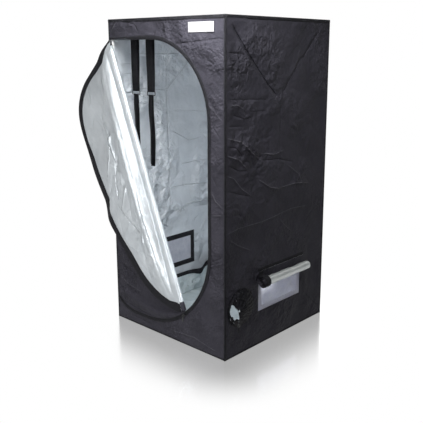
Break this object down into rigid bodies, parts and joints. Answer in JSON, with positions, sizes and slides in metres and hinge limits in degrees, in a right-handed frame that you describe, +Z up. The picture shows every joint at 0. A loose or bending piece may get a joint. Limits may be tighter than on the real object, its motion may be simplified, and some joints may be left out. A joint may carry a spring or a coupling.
{
  "type": "indoor grow tent",
  "caption": "Tall square cloth grow tent on a tube frame, its D-shaped zip door folded back to show a silver lining, with vent windows, duct ports and hanging straps.",
  "frame": {"origin": "middle of the underside of the floor panel, on the surface that the tent stands on", "axes": "+Z up; +Y from the door side to the back; +X to the right of someone who faces the door, so the side port is at +X and the folded door leans to -X"},
  "size_m": [1.1787, 1.0192, 1.6],
  "materials": {
    "black_cloth": "matte black-grey coated oxford cloth, silver film on the inner face",
    "silver_film": "silver reflective film, softly crinkled",
    "black_tape": "black woven tape",
    "webbing": "black ribbed webbing",
    "insect_mesh": "pale fine mesh",
    "steel_tube": "pale powder coat",
    "wire": "nickel-plated wire",
    "black_plastic": "black moulded plastic"
  },
  "bodies": {
    "tent": {"roof_panel": "black_cloth", "floor_panel": "black_cloth", "front_panel": "black_cloth", "left_wall": "black_cloth", "right_wall": "black_cloth", "back_wall": "black_cloth", "door_sewn_panel": "black_cloth", "zip_tape_frame": "black_tape", "post_front_left": "steel_tube", "post_front_right": "steel_tube", "post_rear_left": "steel_tube", "post_rear_right": "steel_tube", "top_rail_front": "steel_tube", "top_rail_rear": "steel_tube", "top_rail_left": "steel_tube", "top_rail_right": "steel_tube", "floor_rail_front": "steel_tube", "floor_rail_rear": "steel_tube", "floor_rail_left": "steel_tube", "floor_rail_right": "steel_tube", "floor_corner_front_left": "black_plastic", "floor_corner_front_right": "black_plastic", "floor_corner_rear_left": "black_plastic", "floor_corner_rear_right": "black_plastic", "top_corner_front_left": "black_plastic", "top_corner_front_right": "black_plastic", "top_corner_rear_left": "black_plastic", "top_corner_rear_right": "black_plastic", "left_window_mesh": "insect_mesh", "left_window_binding": "black_tape", "right_window_mesh": "insect_mesh", "right_window_binding": "black_tape", "right_port_sleeve": "black_cloth", "right_port_drawcord": "black_tape", "back_port_sleeve": "black_cloth", "back_port_drawcord": "black_tape"},
    "door": {"door_flap": "silver_film", "zip_tape_flap": "black_tape"},
    "slider": {"zip_slider": "black_plastic"},
    "puller": {"zip_puller": "black_plastic"},
    "left_cover": {"left_window_cover": "black_cloth"},
    "right_cover": {"right_window_cover_roll": "silver_film", "right_window_tie": "black_tape"},
    "right_cord_lock": {"right_port_cord_lock": "black_plastic"},
    "right_button": {"right_port_cord_lock_button": "black_plastic"},
    "back_cord_lock": {"back_port_cord_lock": "black_plastic"},
    "back_button": {"back_port_cord_lock_button": "black_plastic"},
    "front_bar": {"front_crossbar": "steel_tube"},
    "rear_bar": {"rear_crossbar": "steel_tube"},
    "strap_a": {"strap_a_loop": "webbing"},
    "strap_a_ring": {"strap_a_ring": "wire"},
    "strap_a_tail": {"strap_a_tail": "webbing"},
    "strap_b": {"strap_b_loop": "webbing"},
    "strap_b_ring": {"strap_b_ring": "wire"},
    "strap_b_tail": {"strap_b_tail": "webbing"},
    "tray": {"floor_tray": "silver_film"}
  },
  "joints": [
    {"name": "door_fold", "type": "hinge", "parent": "tent", "child": "door", "pos_m": [-0.385, -0.4155, 1.505], "axis": [-0.368, 0, 0.9298], "range_deg": [0, 180]},
    {"name": "zip_run", "type": "hinge", "parent": "tent", "child": "slider", "pos_m": [-0.152, -0.4014, 0.52], "axis": [0, -1, 0], "range_deg": [-33, 50]},
    {"name": "puller_swing", "type": "hinge", "parent": "slider", "child": "puller", "pos_m": [0.12195, -0.40665, 0.15446], "axis": [-1, 0, 0], "range_deg": [0, 95]},
    {"name": "left_cover_flip", "type": "hinge", "parent": "tent", "child": "left_cover", "pos_m": [-0.4008, 0, 0.385], "axis": [0, 1, 0], "range_deg": [0, 170]},
    {"name": "right_cover_lift", "type": "hinge", "parent": "tent", "child": "right_cover", "pos_m": [0.4008, 0.03, 0.385], "axis": [0, -1, 0], "range_deg": [0, 80]},
    {"name": "right_lock_slide", "type": "slide", "parent": "tent", "child": "right_cord_lock", "axis": [0, 0, 1], "range_m": [-0.028, 0.004]},
    {"name": "right_button_press", "type": "slide", "parent": "right_cord_lock", "child": "right_button", "axis": [-1, 0, 0], "range_m": [0, 0.0027], "stiffness_N_per_m": 400},
    {"name": "back_lock_slide", "type": "slide", "parent": "tent", "child": "back_cord_lock", "axis": [0, 0, 1], "range_m": [-0.028, 0.004]},
    {"name": "back_button_press", "type": "slide", "parent": "back_cord_lock", "child": "back_button", "axis": [0, -1, 0], "range_m": [0, 0.0027], "stiffness_N_per_m": 400},
    {"name": "front_bar_slide", "type": "slide", "parent": "tent", "child": "front_bar", "axis": [0, 1, 0], "range_m": [-0.02, 0.25]},
    {"name": "rear_bar_slide", "type": "slide", "parent": "tent", "child": "rear_bar", "axis": [0, 1, 0], "range_m": [-0.1, 0.2]},
    {"name": "strap_a_slide", "type": "slide", "parent": "front_bar", "child": "strap_a", "axis": [1, 0, 0], "range_m": [-0.02, 0.02]},
    {"name": "strap_a_ring_swing", "type": "hinge", "parent": "strap_a", "child": "strap_a_ring", "pos_m": [-0.315, -0.3, 1.2444], "axis": [1, 0, 0], "range_deg": [-3, 30]},
    {"name": "strap_a_tail_swing", "type": "hinge", "parent": "strap_a_ring", "child": "strap_a_tail", "pos_m": [-0.315, -0.3, 1.2244], "axis": [1, 0, 0], "range_deg": [-6, 60]},
    {"name": "strap_b_slide", "type": "slide", "parent": "front_bar", "child": "strap_b", "axis": [1, 0, 0], "range_m": [-0.02, 0.45]},
    {"name": "strap_b_ring_swing", "type": "hinge", "parent": "strap_b", "child": "strap_b_ring", "pos_m": [-0.198, -0.3, 1.2444], "axis": [1, 0, 0], "range_deg": [-3, 30]},
    {"name": "strap_b_tail_swing", "type": "hinge", "parent": "strap_b_ring", "child": "strap_b_tail", "pos_m": [-0.198, -0.3, 1.2244], "axis": [1, 0, 0], "range_deg": [-6, 60]},
    {"name": "tray_lift", "type": "slide", "parent": "tent", "child": "tray", "axis": [0, 0, 1], "range_m": [0, 0.2]}
  ]
}
